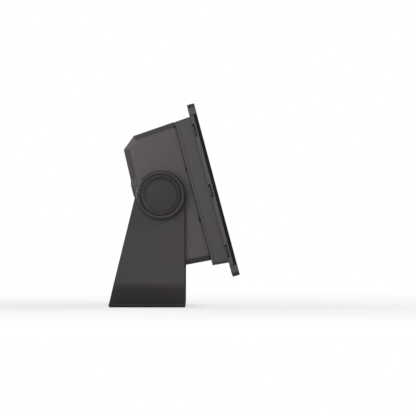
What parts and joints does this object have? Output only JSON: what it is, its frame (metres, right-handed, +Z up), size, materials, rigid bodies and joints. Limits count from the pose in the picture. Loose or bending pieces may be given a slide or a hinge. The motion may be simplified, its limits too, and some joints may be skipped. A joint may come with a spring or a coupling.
{
  "type": "bracket-mounted smart display",
  "caption": "Flat touch display with deep rear housing, tilting in a U-shaped bail bracket and clamped by round side knobs.",
  "frame": {"origin": "centre of the bracket's four mounting holes, on the underside of the base pad", "axes": "+Z up, the screen faces -Y, X is the pivot direction (+X is to the right of a person facing the screen)"},
  "size_m": [0.259, 0.1216, 0.188],
  "materials": {
    "bracket_coat": "fine textured powder coat",
    "housing": "fine moulded texture",
    "frame": "fine moulded texture",
    "bezel": "satin",
    "trim": "satin",
    "cover_glass": "polished, black printed back",
    "display": "dark panel",
    "rubber": "matt",
    "knob_body": "fine moulded texture",
    "knob_grip": "soft touch",
    "steel": "plain",
    "dark_steel": "blackened",
    "brass": "plain",
    "aluminium": "mill",
    "board": "solder mask",
    "nylon": "plain",
    "paper_cone": "plain"
  },
  "bodies": {
    "bracket_body": {"bracket": "bracket_coat", "base_pad": "rubber", "arm_bushes": "nylon"},
    "head_body": {"bezel_flange": "bezel", "top_trim": "trim", "bottom_trim": "trim", "cover_glass": "cover_glass", "display_gasket": "rubber", "lcd_panel": "display", "backlight_unit": "aluminium", "chassis_plate": "aluminium", "button_switch": "dark_steel", "light_sensor": "display", "mic_capsules": "dark_steel", "mid_frame": "frame", "rear_housing": "housing", "frame_seal": "rubber", "seam_pips": "dark_steel", "frame_screws": "dark_steel", "housing_screws": "dark_steel", "door_pins": "steel", "vent_plug": "nylon", "power_socket_shell": "nylon", "data_socket_a_shell": "nylon", "data_socket_b_shell": "nylon", "data_socket_c_shell": "nylon", "socket_inserts": "paper_cone", "socket_gaskets": "rubber", "main_board": "board", "board_standoffs": "brass", "cpu_shield": "steel", "heat_sink": "aluminium", "coin_cell": "steel", "display_ribbon": "brass", "card_reader": "steel", "connector_board": "board", "speaker_mesh": "dark_steel", "speaker_frames": "dark_steel", "speaker_cones": "paper_cone", "speaker_magnets": "steel", "wifi_antenna": "board", "pivot_inserts": "brass", "friction_washers": "nylon"},
    "button_body": {"power_button": "trim"},
    "door_body": {"card_door": "frame"},
    "washer_right": {"thrust_washer_right": "steel"},
    "knob_right": {"knob_core_right": "knob_body", "knob_grip_right": "knob_grip", "knob_cap_right": "knob_body", "knob_stud_right": "steel"},
    "washer_left": {"thrust_washer_left": "steel"},
    "knob_left": {"knob_core_left": "knob_body", "knob_grip_left": "knob_grip", "knob_cap_left": "knob_body", "knob_stud_left": "steel"}
  },
  "joints": [
    {"name": "head_tilt", "type": "hinge", "parent": "bracket_body", "child": "head_body", "pos_m": [0, -0.0128, 0.104], "axis": [1, 0, 0], "range_deg": [-45, 17]},
    {"name": "button_press", "type": "slide", "parent": "head_body", "child": "button_body", "axis": [0, 0.9659, -0.2588], "range_m": [0, 0.0009], "stiffness_N_per_m": 900, "springref_m": -0.001},
    {"name": "door_swing", "type": "hinge", "parent": "head_body", "child": "door_body", "pos_m": [0.1168, -0.04675, 0.10481], "axis": [0, 0.2588, 0.9659], "range_deg": [0, 95]},
    {"name": "washer_travel_right", "type": "slide", "parent": "head_body", "child": "washer_right", "axis": [1, 0, 0], "range_m": [0, 0.006]},
    {"name": "knob_turn_right", "type": "hinge", "parent": "washer_right", "child": "knob_right", "pos_m": [0.11, -0.0128, 0.104], "axis": [1, 0, 0], "range_deg": [0, 1440.6]},
    {"name": "washer_travel_left", "type": "slide", "parent": "head_body", "child": "washer_left", "axis": [-1, 0, 0], "range_m": [0, 0.006]},
    {"name": "knob_turn_left", "type": "hinge", "parent": "washer_left", "child": "knob_left", "pos_m": [-0.11, -0.0128, 0.104], "axis": [-1, 0, 0], "range_deg": [0, 1440.6]}
  ],
  "couplings": [
    {"joint": "knob_turn_right", "follows": "washer_travel_right", "rad_per_m": 4188.8},
    {"joint": "knob_turn_left", "follows": "washer_travel_left", "rad_per_m": 4188.8}
  ]
}
